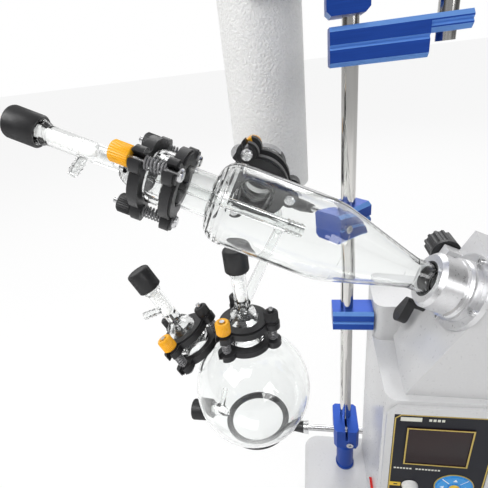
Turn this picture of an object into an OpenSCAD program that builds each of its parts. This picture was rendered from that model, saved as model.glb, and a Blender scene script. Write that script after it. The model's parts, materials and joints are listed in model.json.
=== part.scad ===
// Glass assembly of a rotary evaporator with its rod stand and drive head.
// Millimetres, +Z up, +X towards the evaporating flask, +Y towards the back.
// The origin is on the underside of the feet, straight below the main rod.

/* [Base] */
// Width of the base plate, left to right
base_w = 330; // [280:1:420]
// Depth of the base plate, front to back
base_deep = 230; // [200:1:300]
// Thickness of the base plate
base_h = 52.5; // [40:0.5:60]
// Overhang of the base to the left of the main rod
base_left = 50; // [40:1:80]
// Overhang of the base behind the main rod
base_back = 36; // [34:1:60]
// Corner radius of the base plate
base_corner = 18; // [8:1:30]
// Height of a rubber foot
foot_h = 12; // [8:1:20]
// Diameter of a rubber foot
foot_d = 34; // [24:1:44]

/* [Rods] */
// Diameter of the main rod
rod_d = 12; // [10:0.5:14]
// Height of the top of the main rod above the table
rod_top = 625; // [620:1:720]
// Diameter of the upper rod
upper_rod_d = 13; // [10:0.5:14]
// Height of the top of the upper rod above the table
upper_rod_top = 735; // [650:1:800]
// Distance from the main rod to the upper rod
upper_rod_x = 62.5; // [58:0.5:80]
// Diameter of the thin rods that carry the holders
thin_rod_d = 7; // [5:0.5:8]

/* [Receiving flask] */
// Outer diameter of the receiving flask
flask_d = 131; // [110:1:150]
// Height of the centre of the flask above the table
flask_z = 194.5; // [190:0.5:230]
// Distance from the main rod to the flask, to the left
flask_x = 104.8; // [98:0.2:120]
// Wall of the glassware
glass = 2.2; // [1.8:0.1:3]
// Height of the flask's neck joint above its centre
neck_rise = 81; // [80.5:0.5:90]
// Lean of the side neck from the vertical
side_lean = 25; // [20:1:35]

/* [Glass joints] */
// Outer diameter of every neck at a clamped joint
neck_d = 32; // [28:0.5:36]
// Diameter of a joint flange
flange_d = 41; // [38:0.5:46]
// Thickness of a joint flange
flange_h = 7.5; // [6:0.5:10]

/* [Joint clamps] */
// Radius of the ring of a clamp plate
ring_r = 27; // [25:0.5:28]
// Radius of the bolt circle
bolt_r = 29.5; // [28:0.5:33]
// Radius of a lobe
lobe_r = 8.5; // [7:0.5:9]
// Thickness of a clamp plate
plate_h = 8.5; // [6:0.5:10]
// Diameter of a clamp bolt
bolt_d = 5; // [4:0.5:6]
// Diameter of a knurled nut
nut_d = 14.4; // [12:0.2:16]
// Height of an orange nut
orange_h = 14; // [10:0.5:16]
// Height of a black nut
black_h = 11; // [8:0.5:14]

/* [Valves] */
// Diameter of the tube of a valve body
tube_d = 15; // [13:0.5:18]
// Outer diameter of the threaded end
thread_d = 18; // [17:0.5:21]
// Height from the joint to the mouth of the threaded end
valve_rise = 92; // [84:1:110]
// Height from the inlet joint to the mouth of the inlet valve
inlet_rise = 110; // [96:1:120]
// Diameter of a valve cap
cap_d = 24; // [22:0.5:28]
// Height of a valve cap
cap_h = 24; // [20:0.5:28]
// Diameter of a plunger
stem_d = 9.6; // [8:0.1:10.4]

/* [Vapour vessel] */
// Height of the drive opening above the table
drive_z = 374.4; // [370:0.2:400]
// Distance of the drive opening to the right of the main rod
drive_x = 51.4; // [48:0.2:60]
// Distance of the vessel's axis in front of the main rod
vessel_front = 56; // [54:0.5:62]
// Slope of the vessel's axis below level
tilt = 25.4; // [22:0.2:28]
// Outer diameter of the vessel's body
vessel_d = 62.4; // [56:0.2:68]
// Distance from the drive opening to the inlet joint
vessel_len = 208.5; // [200:0.5:240]

/* [Condenser] */
// Outer diameter of the white jacket
jacket_d = 84; // [74:1:96]
// Distance from the main rod back to the condenser
condenser_back = 128.4; // [120:0.2:150]
// Height of the jacket's lower edge above the table
jacket_z = 398; // [380:1:410]
// Length of the jacket
jacket_h = 370; // [300:1:440]
// Distance from the main rod to the side joint, to the left
side_x = 76; // [70:0.5:84]
// Height of the side joint above the table
side_z = 436; // [430:1:442]

/* [Drive head] */
// Diameter of the collar
collar_d = 43; // [38:0.5:48]
// Length of the collar
collar_h = 27; // [20:0.5:34]
// Diameter of the collar's opening
collar_hole = 28; // [26:0.5:30]
// Diameter of the screwed flange
drive_flange_d = 60; // [56:0.5:64]
// Thickness of the screwed flange
drive_flange_h = 4; // [3:0.5:6]
// Length of the head along its axis
head_len = 150; // [130:1:180]
// Wall of the housing
shell = 3; // [2:0.5:4]
// Outer diameter of the evaporating flask
boil_d = 131; // [110:1:150]
// Outer diameter of the glass vapour duct
duct_d = 22; // [20:0.5:24]

/* [Hidden] */
$fn = 64;

// Colours
anodised = "royalblue";
pale = "whitesmoke";
steel = "silver";
black = "dimgray";
clear = [0.8, 0.9, 0.95, 0.5];

// Clearances
slide_gap = 0.05;
free_gap = 0.3;
cut = 1;

// Stand
base_top = foot_h + base_h;
rod_socket = 20;
rod_foot_d = 20;
rod_foot_h = 38;

// Joints: the mating faces of a joint lie at its middle, so each plate sits behind a flange
plate_gap = flange_h + free_gap;
nut_z = plate_gap + plate_h;
bolt_tail = 4;

// Receiving flask
neck_z = flask_z + neck_rise;
side_joint = [-flask_x - 64.2, 0, flask_z + 67.5];
drain_z = flask_z - 47.5;
drain_x = -flask_x - 52.5;
drain_mouth = 22;

// Support ring: it touches the flask from below
ring_major = 36;
ring_thick = 4;
ring_z = flask_z - sqrt(pow(flask_d / 2 + ring_thick + 0.1, 2) - pow(ring_major, 2));

// Drive axis stations, measured from the opening up towards the inlet
flange_t = -collar_h;
face_t = flange_t - drive_flange_h;
head_t = face_t - head_len;

// Places the children on a joint's axis, with the joint's face at height zero
module at_inlet() {
    at_drive(vessel_len) children();
}
module at_drive(t) {
    translate([drive_x, -vessel_front, drive_z])
        rotate([0, tilt - 90, 0])
            translate([0, 0, t])
                children();
}
module at_neck() {
    translate([-flask_x, 0, neck_z]) children();
}
module at_vacuum() {
    translate(side_joint) rotate([0, -side_lean, 0]) children();
}
module at_side() {
    translate([-side_x, side_y, side_z]) rotate([-90, 0, 0]) children();
}
module at_drain() {
    translate([drain_x, 0, drain_z]) rotate([0, -90, 0]) children();
}
side_y = 8;

// Turns of the four clamps about their joints
inlet_turn = 305;
neck_turn = 235;
vacuum_turn = 262;
side_turn = 260;

// ---- stand ----
module rounded_plate(w, d, h, r) {
    linear_extrude(h) rounded_rect(w, d, r);
}
module rounded_rect(w, d, r) {
    translate([r, 0]) square([w - 2 * r, d]);
    translate([0, r]) square([w, d - 2 * r]);
    for (x = [r, w - r], y = [r, d - r]) translate([x, y]) circle(r);
}
module base() {
    edge = 4;
    color(pale) difference() {
        translate([-base_left, base_back - base_deep, foot_h]) {
            rounded_plate(base_w, base_deep, base_h - edge, base_corner);
            translate([edge, edge, base_h - edge - 0.01])
                rounded_plate(base_w - 2 * edge, base_deep - 2 * edge, edge + 0.01, base_corner - edge);
        }
        base_cavity();
        translate([0, 0, base_top - rod_socket]) cylinder(d = rod_d + 2 * slide_gap, h = rod_socket + cut);
        for (p = foot_places()) translate([p[0], p[1], foot_h - cut]) cylinder(d = 5, h = 10 + cut);
    }
}
// Space below the top of the base, open at the bottom, with a solid boss over each foot
module base_cavity() {
    wall = 5;
    difference() {
        translate([-base_left + wall, base_back - base_deep + wall, foot_h - cut])
            rounded_plate(base_w - 2 * wall, base_deep - 2 * wall, base_h - 10 + cut, base_corner - wall);
        for (p = foot_places()) translate([p[0], p[1], foot_h - 2 * cut]) cylinder(d = foot_d + 6, h = base_h);
    }
}
// One foot straight below the main rod and one at each of the other corners
foot_inset = 28;
foot_right = base_w - base_left - foot_inset;
foot_front = base_back - base_deep + foot_inset;
function foot_places() = [[0, 0], [foot_right, base_back - foot_inset], [foot_inset - base_left, foot_front],
    [foot_right, foot_front]];
module base_feet() {
    color(black) for (p = foot_places()) translate([p[0], p[1], 0]) {
        cylinder(d = foot_d, h = foot_h);
        cylinder(d = 4.8, h = foot_h + 9);
    }
}
module main_rod() {
    bottom = base_top - rod_socket + 0.5;
    color(steel) translate([0, 0, bottom]) {
        cylinder(d = rod_d, h = rod_top - bottom - 1);
        translate([0, 0, rod_top - bottom - 1]) cylinder(d1 = rod_d, d2 = rod_d - 2, h = 1);
    }
}
module rod_foot() {
    color(anodised) translate([0, 0, base_top]) difference() {
        rotate_extrude() polygon([[0, 0], [rod_foot_d / 2 + 1, 0], [rod_foot_d / 2 + 1, 3],
            [rod_foot_d / 2, 4], [rod_foot_d / 2, rod_foot_h - 1.5], [rod_foot_d / 2 - 1.5, rod_foot_h],
            [0, rod_foot_h]]);
        translate([0, 0, -cut]) cylinder(d = rod_d + 2 * slide_gap, h = rod_foot_h + 2 * cut);
    }
}
// Bar of extruded aluminium along X with bevelled long edges and a groove in its front
module bar(x0, x1, deep, h) {
    bevel = 3;
    groove = 1.6;
    translate([x0, 0, 0]) rotate([90, 0, 90]) linear_extrude(x1 - x0) polygon([
        [-deep / 2 + bevel, 0], [deep / 2 - bevel, 0], [deep / 2, bevel], [deep / 2, h - bevel],
        [deep / 2 - bevel, h], [-deep / 2 + bevel, h], [-deep / 2, h - bevel],
        [-deep / 2, h / 2 + groove], [-deep / 2 + groove, h / 2], [-deep / 2, h / 2 - groove],
        [-deep / 2, bevel]]);
}
mid_z = 286;
mid_h = 22;
module mid_clamp() {
    color(anodised) translate([0, 0, mid_z]) difference() {
        bar(-14, housing_x - 0.02, 26, mid_h);
        translate([0, 0, -cut]) cylinder(d = rod_d + 2 * slide_gap, h = mid_h + 2 * cut);
        translate([6, 20, mid_h / 2]) rotate([90, 0, 0]) cylinder(d = 4.2, h = 16);
    }
}
angle_z = 389;
angle_h = 27;
angle_rod_z = angle_h / 2;
holder_turn = 130;
module angle_clamp() {
    color(anodised) translate([0, 0, angle_z]) rotate([0, 0, 45]) difference() {
        bar(-25, 13, 28, angle_h);
        translate([0, 0, -cut]) cylinder(d = rod_d + 2 * slide_gap, h = angle_h + 2 * cut);
        rotate([0, 0, holder_turn - 45]) translate([9, 0, angle_rod_z])
            rotate([0, 90, 0]) cylinder(d = thin_rod_d + 2 * slide_gap, h = 30);
        translate([-17, -20, angle_h / 2]) rotate([-90, 0, 0]) cylinder(d = 4.2, h = 12);
    }
}
lower_z = 125.5;
lower_h = 27;
module lower_clamp() {
    color(anodised) translate([0, 0, lower_z]) difference() {
        linear_extrude(lower_h) polygon([[-14, 11], [-14, -20], [-11, -lower_front], [10, -lower_front],
            [13, -20], [13, 11], [10, 14], [-11, 14]]);
        translate([0, 0, -cut]) cylinder(d = rod_d + 2 * slide_gap, h = lower_h + 2 * cut);
        translate([-1.7, -lower_front - cut, lower_h * 0.45]) cube([2.4, lower_front - rod_d / 2 + cut, lower_h]);
        translate([0, ring_rod_y, ring_rod_z - lower_z])
            rotate([0, -90, 0]) translate([0, 0, -30]) cylinder(d = thin_rod_d + 2 * slide_gap, h = 60);
        translate([3, -lower_front - cut, 6.5]) rotate([-90, 0, 0]) cylinder(d = 4.2, h = 9.6 + cut);
    }
    color(steel) translate([3, -lower_front, lower_z + 6.5]) rotate([-90, 0, 0]) screw(4, 9, 2);
}
lower_front = 24;
ring_rod_y = -13.2;
ring_rise = 8;
ring_rod_z = ring_z + ring_rise;
arm_z = 522;
arm_h = 25;
module top_arm() {
    thin_h = 11;
    color(anodised) translate([0, 0, arm_z]) difference() {
        union() {
            bar(-15, upper_rod_x - 14, 34, arm_h);
            translate([0, 0, arm_h - thin_h]) bar(upper_rod_x - 15, upper_rod_x + 11, 34, thin_h);
        }
        translate([0, 0, -cut]) cylinder(d = rod_d + 2 * slide_gap, h = arm_h + 2 * cut);
        translate([upper_rod_x, 0, -cut]) cylinder(d = upper_rod_d + 2 * slide_gap, h = arm_h + 2 * cut);
        translate([8, 25, arm_h / 2 + 6]) rotate([90, 0, 0]) cylinder(d = 4.2, h = 20);
    }
}
module upper_rod() {
    bottom = arm_z + 8.5;
    color(steel) translate([upper_rod_x, 0, bottom]) {
        cylinder(d = upper_rod_d, h = upper_rod_top - bottom - 1.5);
        translate([0, 0, upper_rod_top - bottom - 1.5])
            cylinder(d1 = upper_rod_d, d2 = upper_rod_d - 3, h = 1.5);
    }
}
block_z = arm_z + arm_h + 6;
block_h = 60;
block_rod_z = 46;
condenser_angle = 90 + atan(side_x / condenser_back);
condenser_far = sqrt(pow(side_x, 2) + pow(condenser_back, 2));
module upper_block() {
    reach = condenser_far - jacket_d / 2;
    color(anodised) translate([0, 0, block_z]) difference() {
        translate([-3, 0, 0]) rotate([0, 0, 90]) bar(-17, 20, 28, block_h);
        translate([0, 0, -cut]) cylinder(d = rod_d + 2 * slide_gap, h = block_h + 2 * cut);
        rotate([0, 0, condenser_angle]) translate([8, 0, block_rod_z])
            rotate([0, 90, 0]) cylinder(d = 8.1, h = 40);
    }
    color(steel) translate([0, 0, block_z]) rotate([0, 0, condenser_angle])
        translate([8 + slide_gap, 0, block_rod_z]) rotate([0, 90, 0]) cylinder(d = 8, h = reach - 13);
    color(black) translate([0, 0, block_z + block_rod_z - 14]) rotate([0, 0, condenser_angle]) intersection() {
        difference() {
            translate([condenser_far, 0, 0]) cylinder(d = jacket_d + 12, h = 28, $fn = 96);
            translate([condenser_far, 0, -cut])
                cylinder(d = jacket_d + free_gap, h = 28 + 2 * cut, $fn = 96);
        }
        translate([reach - 8, -28, -cut]) cube([24, 56, 28 + 2 * cut]);
    }
}
// Clamp jaw around the condenser's side tube, on a thin rod from the angle clamp
module neck_holder() {
    jaw_h = 15;
    jaw_t = 5;
    jaw_y = side_y + 46;
    jaw_r = neck_d / 2 + slide_gap;
    boss_r = 46;
    hub = [cos(holder_turn) * (boss_r + 14), sin(holder_turn) * (boss_r + 14), angle_z + angle_rod_z];
    foot = [-side_x + (jaw_r + 3) * cos(-50), jaw_y + jaw_h / 2, side_z + (jaw_r + 3) * sin(-50)];
    color(steel) translate([0, 0, angle_z + angle_rod_z]) rotate([0, 0, holder_turn])
        translate([10, 0, 0]) rotate([0, 90, 0]) cylinder(d = thin_rod_d, h = boss_r - 8);
    color(black) difference() {
        union() {
            translate([0, 0, angle_z + angle_rod_z]) rotate([0, 0, holder_turn])
                translate([boss_r, 0, 0]) rotate([0, 90, 0]) {
                    cylinder(d1 = 12, d2 = 17, h = 14);
                    translate([0, 0, 14]) cylinder(d = 17, h = 8);
                }
            tube_between(hub, foot, 11);
            translate([-side_x, jaw_y, side_z]) rotate([-90, 0, 0]) {
                cylinder(r = jaw_r + jaw_t, h = jaw_h);
                translate([-jaw_r - 12, -9, 0]) cube([12, 18, jaw_h]);
            }
        }
        translate([-side_x, jaw_y - cut, side_z]) rotate([-90, 0, 0]) {
            cylinder(r = jaw_r, h = jaw_h + 2 * cut);
            translate([-jaw_r - 14, -1.5, 0]) cube([20, 3, jaw_h + 2 * cut]);
        }
        translate([-side_x - jaw_r - 8, jaw_y + jaw_h / 2, side_z - 18])
            cylinder(d = 4 + 2 * slide_gap, h = 40);
    }
    color(steel) translate([-side_x - jaw_r - 8, jaw_y + jaw_h / 2, side_z - 16]) {
        cylinder(d = 4, h = 32);
        translate([0, 0, 25]) cylinder(d = 9, h = 7);
        translate([0, 0, 31]) rotate([90, 0, 0]) translate([0, 0, -1.25]) cylinder(d = 18, h = 2.5);
    }
}
module support_ring() {
    color(black) translate([-flask_x, 0, ring_z]) {
        rotate_extrude($fn = 96) translate([ring_major, 0]) circle(ring_thick, $fn = 32);
        tube_between([ring_major - 1, ring_rod_y, 0], [ring_major + 12, ring_rod_y, ring_rise], 8);
        translate([ring_major + 9, ring_rod_y, ring_rise]) rotate([0, 90, 0]) cylinder(d1 = 10, d2 = 15, h = 17);
    }
    color(steel) translate([-flask_x + ring_major + 20, ring_rod_y, ring_rod_z]) rotate([0, 90, 0])
        cylinder(d = thin_rod_d, h = flask_x - ring_major - 20 + 18);
}
module screw(d, h, head) {
    difference() {
        union() {
            cylinder(d = d, h = h);
            translate([0, 0, -head]) cylinder(d = d * 1.9, h = head);
        }
        translate([0, 0, -head - cut]) cylinder(d = d * 0.9, h = head * 0.6 + cut, $fn = 6);
    }
}
module lock_screws() {
    color(steel) {
        translate([6, 13, mid_z + mid_h / 2]) rotate([90, 0, 0]) screw(4, 8, 2.4);
        translate([0, 0, angle_z + angle_h / 2]) rotate([0, 0, 45]) translate([-17, -14, 0])
            rotate([-90, 0, 0]) screw(4, 6, 2.4);
        translate([8, 17, arm_z + arm_h / 2 + 6]) rotate([90, 0, 0]) screw(4, 11, 2.4);
    }
}

// ---- glass joints and valves ----
// Solid of a neck flange that lies below the joint's face, when seen along the joint's axis
module flange_below() {
    bevel = 2;
    translate([0, 0, -flange_h]) cylinder(d1 = flange_d - 2 * bevel, d2 = flange_d, h = bevel);
    translate([0, 0, bevel - flange_h]) cylinder(d = flange_d, h = flange_h - bevel - joint_half);
}
joint_half = 0.05;
// Body of a valve with its face down: a dome over the joint, a tube and a threaded mouth
dome_top = 30;
nipple_z = 47;
thread_len = 20;
module valve_skin(mouth) {
    mirror([0, 0, 1]) flange_below();
    rotate_extrude() polygon(concat([[0, joint_half], [neck_d / 2, joint_half]],
        [for (a = [0:10:80]) [tube_d / 2 + (neck_d - tube_d) / 2 * cos(a), 11 + (dome_top - 11) * sin(a)]],
        [[tube_d / 2, dome_top], [tube_d / 2, mouth - thread_len - 3], [thread_d / 2, mouth - thread_len],
        [thread_d / 2, mouth], [0, mouth]]));
    translate([0, 0, mouth - thread_len]) thread_ridges();
}
module nipple(height, turn) {
    tip = 25;
    rotate([0, 0, turn]) translate([0, 0, height]) rotate([0, 68, 0]) {
        cylinder(d = 7, h = tip);
        for (i = [0:2]) translate([0, 0, tip - 4 - 4.4 * i]) cylinder(d1 = 8.6, d2 = 7, h = 3.6);
    }
}
module nipple_bore(height, turn) {
    rotate([0, 0, turn]) translate([0, 0, height]) rotate([0, 68, 0]) translate([0, 0, 2])
        cylinder(d = 4, h = 30);
}
// Hollow of a valve body: the space under the dome, the seat and the plunger's bore
seat_drop = 6;
module valve_hollow(port, mouth) {
    seat = port - seat_drop;
    rotate_extrude() polygon([[0, -cut], [neck_d / 2 - glass, -cut], [neck_d / 2 - glass, 12],
        [neck_d / 2 - glass - 3.5, 20], [4, 26], [4, seat - 3], [stem_bore / 2, seat],
        [stem_bore / 2, mouth + cut], [0, mouth + cut]]);
}
stem_bore = stem_d + 0.2;
module thread_ridges() {
    for (i = [0:4]) translate([0, 0, 4 + 3.2 * i]) rotate_extrude()
        polygon([[thread_d / 2 - 0.6, -1.1], [thread_d / 2 + 0.7, -0.3], [thread_d / 2 + 0.7, 0.3],
            [thread_d / 2 - 0.6, 1.1]]);
}
// Plunger of a valve: its tip closes the seat and its top turns in the cap
module stem(seat, mouth) {
    low = seat - 2.6;
    color("white") rotate_extrude() polygon([[0, low], [3, low + 1], [4.2, low + 4],
        [stem_d / 2, low + 7], [stem_d / 2, low + 14], [stem_d / 2 - 1, low + 14.4],
        [stem_d / 2 - 1, low + 16.6], [stem_d / 2, low + 17], [stem_d / 2, mouth - 2.5],
        [3, mouth - 2.5], [3, mouth + 3.6], [0, mouth + 3.6]]);
}
// Screw cap of a valve, placed so that its skirt covers the thread below the mouth
cap_skirt = 17;
module cap(mouth) {
    inner = thread_d + 2 * 0.7 + 2 * 0.2;
    color(black) translate([0, 0, mouth + 0.3 - cap_skirt]) difference() {
        union() {
            rotate_extrude() polygon([[0, 0], [cap_d / 2 - 1, 0], [cap_d / 2, 1],
                [cap_d / 2, cap_h - 2], [cap_d / 2 - 0.6, cap_h - 0.6], [cap_d / 2 - 2, cap_h],
                [0, cap_h]]);
            for (i = [0:23]) rotate([0, 0, 15 * i]) translate([cap_d / 2 - 0.2, 0, 2])
                cylinder(r = 0.7, h = cap_h - 5, $fn = 16);
        }
        translate([0, 0, -cut]) cylinder(d = inner, h = cap_skirt + cut);
        translate([0, 0, cap_skirt - 1]) cylinder(r = 3.1, h = 5);
    }
}

// ---- joint clamps ----
module plate_outline(slot_turn) {
    difference() {
        union() {
            circle(ring_r);
            for (a = [0:120:240]) rotate(a) translate([bolt_r, 0]) circle(lobe_r);
            rotate(slot_turn) translate([bolt_r, 0]) circle(lobe_r + 1);
        }
        circle(d = neck_d + 2 * free_gap);
        rotate(slot_turn) translate([bolt_r - bolt_d / 2 - 0.3, -bolt_d / 2 - 0.3])
            square([lobe_r + 10, bolt_d + 0.6]);
    }
}
module clamp_plate() {
    rim = 1.6;
    difference() {
        union() {
            linear_extrude(plate_h - rim) plate_outline(0);
            linear_extrude(plate_h) intersection() {
                plate_outline(0);
                union() {
                    circle(ring_r - 2);
                    for (a = [0:120:240]) rotate(a) translate([bolt_r, 0]) circle(lobe_r - 1);
                }
            }
        }
        for (a = [120, 240]) rotate([0, 0, a]) translate([bolt_r, 0, -cut])
            cylinder(d = bolt_d + 0.6, h = plate_h + 2 * cut);
    }
}
// The two plates of one clamp, with the nuts' side up
module plate_pair(turn) {
    color(black) rotate([0, 0, turn]) {
        translate([0, 0, plate_gap]) clamp_plate();
        translate([0, 0, -plate_gap]) mirror([0, 0, 1]) clamp_plate();
    }
}
module bolt() {
    reach = plate_gap + plate_h;
    translate([0, 0, -reach]) cylinder(d = bolt_d, h = 2 * reach + orange_h + bolt_tail - 3);
    translate([0, 0, -reach - 3.4]) rotate_extrude() polygon([[0, 0], [3, 0], [4.4, 0.6], [5, 1.8], [5, 3.4],
        [0, 3.4]]);
}
module bolts_of(turn) {
    for (a = [0:120:240]) rotate([0, 0, turn + a]) translate([bolt_r, 0, 0]) bolt();
}
module springs_of(turn) {
    wire = 1;
    turns = 7;
    pitch = (2 * plate_gap - 2 * wire) / (turns - 1);
    for (a = [0:120:240]) rotate([0, 0, turn + a]) translate([bolt_r, 0, 0]) for (i = [0:turns - 1])
        translate([0, 0, -plate_gap + wire + i * pitch]) rotate_extrude($fn = 32)
            translate([bolt_d / 2 + wire + 0.3, 0]) circle(wire / 2, $fn = 16);
}
module knurled(h) {
    difference() {
        union() {
            rotate_extrude() polygon([[0, 0], [nut_d / 2 - 0.6, 0], [nut_d / 2, 0.6],
                [nut_d / 2, h - 1.2], [nut_d / 2 - 1.2, h], [0, h]]);
            for (i = [0:11]) rotate([0, 0, 30 * i]) translate([nut_d / 2 - 0.3, 0, 0.8])
                cylinder(r = 1, h = h - 2.4, $fn = 16);
        }
        translate([0, 0, -cut]) cylinder(d = bolt_d + 0.1, h = h + 2 * cut);
        translate([0, 0, h - 2]) cylinder(d1 = bolt_d, d2 = bolt_d + 3, h = 2 + 0.01);
    }
}
module nut_at(turn) {
    rotate([0, 0, turn]) translate([bolt_r, 0, nut_z + 0.05]) children();
}
module black_nuts_of(turn) {
    for (a = [120, 240]) nut_at(turn + a) knurled(black_h);
}
module orange_nut(turn) {
    color("orange") nut_at(turn) knurled(orange_h);
}
module inlet_plates() { at_inlet() plate_pair(inlet_turn); }
module neck_plates() { at_neck() plate_pair(neck_turn); }
module vacuum_plates() { at_vacuum() plate_pair(vacuum_turn); }
module side_plates() { at_side() plate_pair(side_turn); }
module clamp_bolts() {
    color(steel) {
        at_inlet() bolts_of(inlet_turn);
        at_neck() bolts_of(neck_turn);
        at_vacuum() bolts_of(vacuum_turn);
        at_side() bolts_of(side_turn);
    }
}
module clamp_springs() {
    color(steel) {
        at_inlet() springs_of(inlet_turn);
        at_neck() springs_of(neck_turn);
        at_vacuum() springs_of(vacuum_turn);
        at_side() springs_of(side_turn);
    }
}
module clamp_nuts() {
    color(black) {
        at_inlet() black_nuts_of(inlet_turn);
        at_neck() black_nuts_of(neck_turn);
        at_vacuum() black_nuts_of(vacuum_turn);
        at_side() black_nuts_of(side_turn);
    }
}
module inlet_nut() { at_inlet() orange_nut(inlet_turn); }
module neck_nut() { at_neck() orange_nut(neck_turn); }
module vacuum_nut() { at_vacuum() orange_nut(vacuum_turn); }
module side_nut() { at_side() orange_nut(side_turn); }

// ---- glassware ----
neck_start = -6;
function vessel_profile(off) = concat(
    [[0, neck_start]],
    [[duct_d / 2 + 1 - off, neck_start], [duct_d / 2 + 1 - off, 12]],
    [for (t = [0.08:0.08:1]) [lerp(duct_d / 2 + 1, vessel_d / 2, cone_rise(t)) - off, 12 + 76 * t]],
    [[vessel_d / 2 - off, 88], [vessel_d / 2 - off, shoulder_t - off]],
    [for (a = [15:15:75]) [lerp(neck_d / 2 + 2, vessel_d / 2, cos(a)) - off, shoulder_t - off + 15 * sin(a)]],
    [[neck_d / 2 - off, shoulder_t + 16 - off]]);
function lerp(a, b, t) = a + (b - a) * t;
// Straight cone that rounds off into the body over its last quarter
function cone_rise(t) = t < 0.72 ? 1.14 * t : 1 - 0.1792 * pow((1 - t) / 0.28, 2);
shoulder_t = vessel_len - 54;
module vapour_vessel() {
    color(clear) difference() {
        union() {
            at_drive(0) rotate_extrude() polygon(concat(vessel_profile(0),
                [[neck_d / 2, vessel_len - 1], [0, vessel_len - 1]]));
            at_inlet() flange_below();
            side_tube(neck_d, 0);
            at_side() flange_below();
        }
        at_drive(0) rotate_extrude() polygon(concat([[0, neck_start - cut],
            [duct_d / 2 + 1 - glass, neck_start - cut]],
            [for (i = [2:len(vessel_profile(glass)) - 1]) vessel_profile(glass)[i]],
            [[neck_d / 2 - glass, vessel_len + cut], [0, vessel_len + cut]]));
        side_tube(neck_d - 2 * glass, cut);
    }
}
// Tube from the vessel's axis back to the side joint
module side_tube(d, past) {
    reach = side_y + vessel_front - 8;
    at_side() translate([0, 0, -reach]) cylinder(d = d, h = reach - joint_half + past);
}
feed_len = 110;
inlet_port = 58;
module inlet_adapter() {
    color(clear) at_inlet() difference() {
        union() {
            valve_skin(inlet_rise);
            nipple(inlet_port, 180);
            translate([0, 0, -feed_len]) cylinder(d = 9, h = feed_len + 26);
            for (i = [0:3]) translate([0, 0, -feed_len + 3.5 * i]) cylinder(d1 = 9, d2 = 11, h = 3);
        }
        difference() {
            valve_hollow(inlet_port, inlet_rise);
            cylinder(d = 9, h = 36);
        }
        nipple_bore(inlet_port, 180);
        translate([0, 0, -feed_len - cut]) cylinder(d = 5.4, h = feed_len + cut + 43);
    }
}
// Valve over the flask, with the bent arm that brings the distillate from the condenser
arm_low = [-flask_x + 3, 3, neck_z + 36];
arm_corner = [-side_x, condenser_back, 330];
arm_top = [-side_x, condenser_back, 364];
module outlet_adapter() {
    color(clear) difference() {
        union() {
            at_neck() valve_skin(valve_rise);
            bent_arm(12);
        }
        at_neck() valve_hollow(nipple_z, valve_rise);
        bent_arm(12 - 2 * glass + 0.8);
    }
}
module bent_arm(d) {
    tube_between(arm_low, arm_corner, d);
    translate(arm_corner) sphere(d = d + 1.2);
    tube_between(arm_corner, arm_top, d);
}
module tube_between(a, b, d) {
    v = b - a;
    far = norm(v);
    translate(a) rotate([0, acos(v[2] / far), atan2(v[1], v[0])]) cylinder(d = d, h = far);
}
module vacuum_adapter() {
    turn = 225;
    color(clear) at_vacuum() difference() {
        union() {
            valve_skin(valve_rise);
            nipple(nipple_z, turn);
        }
        valve_hollow(nipple_z, valve_rise);
        nipple_bore(nipple_z, turn);
    }
}
module receiving_flask() {
    color(clear) difference() {
        union() {
            translate([-flask_x, 0, flask_z]) sphere(d = flask_d, $fn = 96);
            at_neck() translate([0, 0, -22]) cylinder(d = neck_d, h = 22 - joint_half);
            at_neck() flange_below();
            at_vacuum() translate([0, 0, -38]) cylinder(d = neck_d, h = 38 - joint_half);
            at_vacuum() flange_below();
            at_drain() translate([0, 0, -24]) cylinder(d = tube_d, h = 28);
            at_drain() translate([0, 0, drain_mouth - thread_len]) {
                cylinder(d = thread_d, h = thread_len);
                thread_ridges();
            }
            drain_spout(8);
        }
        translate([-flask_x, 0, flask_z]) sphere(d = flask_d - 2 * glass, $fn = 96);
        at_neck() translate([0, 0, -22]) cylinder(d = neck_d - 2 * glass, h = 22 + cut);
        at_vacuum() translate([0, 0, -38]) cylinder(d = neck_d - 2 * glass, h = 38 + cut);
        at_drain() translate([0, 0, -14]) cylinder(d = stem_bore, h = 40 + cut);
        at_drain() translate([0, 0, -40]) cylinder(d = 8, h = 30);
        drain_spout(4.4);
    }
}
module drain_spout(d) {
    at_drain() translate([0, 0, -5]) rotate([-90, 0, 0]) cylinder(d = d, h = 32);
}
module condenser_glass() {
    bore_d = jacket_d - 14;
    inner = bore_d - 2 * glass;
    top = jacket_z + jacket_h;
    low = 372;
    color(clear) translate([-side_x, condenser_back, 0]) difference() {
        union() {
            rotate_extrude() polygon([[0, low - 22], [8, low - 22], [9, low], [bore_d / 2, low + 22],
                [bore_d / 2, top - 2], [0, top - 2]]);
            translate([0, -condenser_back + side_y, side_z]) rotate([-90, 0, 0]) {
                translate([0, 0, joint_half]) cylinder(d = neck_d, h = condenser_back - side_y - 20);
                mirror([0, 0, 1]) flange_below();
            }
        }
        rotate_extrude() polygon([[0, low - 20], [6, low - 20], [7, low], [inner / 2, low + 22 + glass / 2],
            [inner / 2, top - 2 + cut], [0, top - 2 + cut]]);
        translate([0, -condenser_back + side_y, side_z]) rotate([-90, 0, 0])
            translate([0, 0, -cut]) cylinder(d = neck_d - 2 * glass, h = condenser_back - side_y - 10);
        translate([0, 0, low - 60]) cylinder(d = 14, h = 32);
        translate([side_x, -condenser_back, 0]) bent_arm(12.4);
    }
}
module condenser_jacket() {
    color("white") translate([-side_x, condenser_back, jacket_z]) difference() {
        union() {
            cylinder(d = jacket_d, h = jacket_h, $fn = 96);
        }
        translate([0, 0, -cut]) cylinder(d = jacket_d - 14 + 0.2, h = jacket_h + 2 * cut, $fn = 96);
        translate([0, 0, side_z - jacket_z]) rotate([90, 0, 0]) cylinder(d = neck_d + 1, h = jacket_d);
    }
}
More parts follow.
